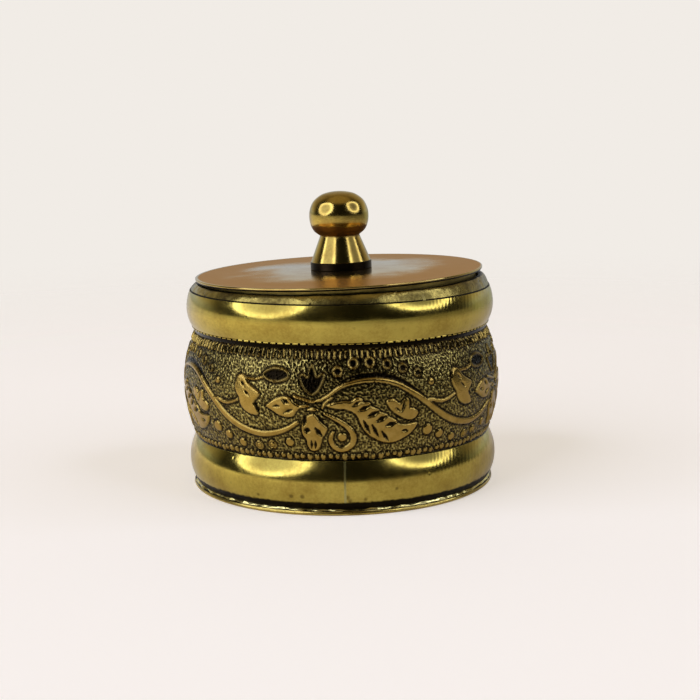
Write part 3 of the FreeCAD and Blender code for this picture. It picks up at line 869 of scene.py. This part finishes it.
floorSize = 3.0
deselect()
bpy.ops.mesh.primitive_circle_add(vertices=96, radius=floorSize / 2, fill_type="NGON", location=(0, 0, 0))
floor = bpy.context.object
floor.name = "floor"
paper, tree, shader = newFinish("paleFloor")
shader.inputs["Base Color"].default_value = srgb("#F1ECE6")
shader.inputs["Roughness"].default_value = 0.9
shader.inputs["Specular IOR Level"].default_value = 0.1
where = addNode(tree, "TexCoord").outputs["Object"]
away = addNode(tree, "VectorMath", {"operation": "LENGTH"}, _0=where)
fade = addNode(tree, "MapRange", {"interpolation_type": "SMOOTHSTEP", "From Min": 0.09, "From Max": 0.36,
                                  "To Min": 1.0, "To Max": 0.0}, Value=away.outputs["Value"])
tree.links.new(fade.outputs["Result"], shader.inputs["Alpha"])
# the glow lifts the paper to the pale surround
shader.inputs["Emission Color"].default_value = (0.445, 0.41, 0.355, 1)
aside = addNode(tree, "SeparateXYZ", Vector=where).outputs["X"]
glowing = addNode(tree, "MapRange", {"From Min": -0.2, "From Max": 0.04, "To Min": 1.4, "To Max": 0.05},
                  Value=aside)
glowing = addNode(tree, "Math", {"operation": "MAXIMUM"}, _0=glowing.outputs[0],
                  _1=addNode(tree, "LightPath").outputs["Is Camera Ray"])
# the camera sees an even glow, while the brass is lit by and mirrors one that is brighter at the left
tree.links.new(glowing.outputs[0], shader.inputs["Emission Strength"])
floor.data.materials.append(paper)

# the surround that the brass mirrors: dark in front above the table, pale behind, overhead and below.
# The camera sees plain paper colour instead

world = bpy.data.worlds.new("studio")
scene.world = world
world.use_nodes = True
tree = world.node_tree
tree.nodes.clear()
path = addNode(tree, "LightPath")
ray = addNode(tree, "TexCoord").outputs["Generated"]
parts = addNode(tree, "SeparateXYZ", Vector=ray)
tall = addNode(tree, "MapRange", {"From Min": -1.0, "From Max": 1.0}, Value=parts.outputs["Z"])
upward = ramp(tree, tall.outputs[0], [(0.0, (0.48,)), (0.495, (0.48,)), (0.503, (0.012,)), (1.0, (0.012,))])
# the table in front is lit from the left
across = addNode(tree, "MapRange", {"From Min": -0.8, "From Max": 0.8, "To Min": 1.6, "To Max": 0.5},
                 Value=parts.outputs["X"])
upward = addNode(tree, "VectorMath", {"operation": "MULTIPLY"}, _0=upward, _1=across.outputs[0]).outputs[0]
behind = addNode(tree, "MapRange", {"interpolation_type": "SMOOTHSTEP", "From Min": 0.1, "From Max": 0.7},
                 Value=parts.outputs["Y"])
overhead = addNode(tree, "MapRange", {"interpolation_type": "SMOOTHSTEP", "From Min": 0.75, "From Max": 0.95},
                   Value=parts.outputs["Z"])
wall = addNode(tree, "Math", {"operation": "MAXIMUM"}, _0=behind.outputs[0], _1=overhead.outputs[0])
blotch = addNode(tree, "TexNoise", {"Scale": 7.0, "Detail": 3.0}, Vector=ray)
level = addNode(tree, "Math", {"operation": "MULTIPLY_ADD", 1: 0.09, 2: -0.045}, _0=blotch.outputs["Fac"])
level = addNode(tree, "Math", {"operation": "ADD"}, _0=parts.outputs["Z"], _1=level.outputs[0])
wallTint = ramp(tree, level.outputs[0], [(0.0, srgb("#A9AFA6")), (0.06, srgb("#B8C3D4")),
                                         (0.12, srgb("#C2C9D2")), (0.2, srgb("#C0BAAA")),
                                         (0.4, srgb("#A59D88")), (0.8, srgb("#9C8C70"))])
wallColor = addNode(tree, "Mix", {"data_type": "RGBA", 6: (0, 0, 0, 1)}, _0=wall.outputs[0], _7=wallTint)
both = addNode(tree, "Mix", {"data_type": "RGBA", "blend_type": "LIGHTEN", 0: 1.0}, _6=upward,
               _7=wallColor.outputs[2])
seen = addNode(tree, "Background", {"Color": srgb("#F1ECE6"), "Strength": 1.0})
room = addNode(tree, "Background", {"Strength": 1.0}, Color=both.outputs[2])
mixed = addNode(tree, "MixShader", Fac=path.outputs["Is Camera Ray"], _1=room.outputs[0], _2=seen.outputs[0])
addNode(tree, "OutputWorld", Surface=mixed.outputs[0])


def softbox(name, azimuth, elevation, distance, width, height, edge, middle):
    # azimuth is from the front, towards the right; edge and middle are how bright the cloth looks there
    a, e = radians(azimuth), radians(elevation)
    aim = Vector((0, 0, 0.03))
    stand = Vector((sin(a) * cos(e), -cos(a) * cos(e), sin(e))) * distance + aim
    lamp = bpy.data.lights.new(name, "AREA")
    lamp.shape = "ELLIPSE"
    lamp.size, lamp.size_y = width, height
    lamp.energy = pi * pi / 4 * width * height
    lamp.use_nodes = True
    tree = lamp.node_tree
    spot = addNode(tree, "NewGeometry").outputs["Parametric"]
    offset = addNode(tree, "VectorMath", {"operation": "SUBTRACT", 1: (0.5, 0.5, 0)}, _0=spot)
    away = addNode(tree, "VectorMath", {"operation": "LENGTH"}, _0=offset.outputs[0])
    glow = addNode(tree, "MapRange", {"interpolation_type": "SMOOTHSTEP", "From Min": 0.22, "From Max": 0.46,
                                      "To Min": middle, "To Max": edge}, Value=away.outputs["Value"])
    shine = tree.nodes["Emission"]
    shine.inputs["Color"].default_value = srgb("#E0E6FF")
    tree.links.new(glow.outputs[0], shine.inputs["Strength"])
    holder = bpy.data.objects.new(name, lamp)
    scene.collection.objects.link(holder)
    holder.location = stand
    holder.rotation_euler = (aim - stand).to_track_quat("-Z", "Y").to_euler()


softbox("leftBox", -60, 31, 1.2, 1.3, 1.25, 3.9, 1.35)
softbox("rightBox", 71, 35, 1.2, 1.1, 1.05, 3.8, 0.42)
print("surround and lamps")
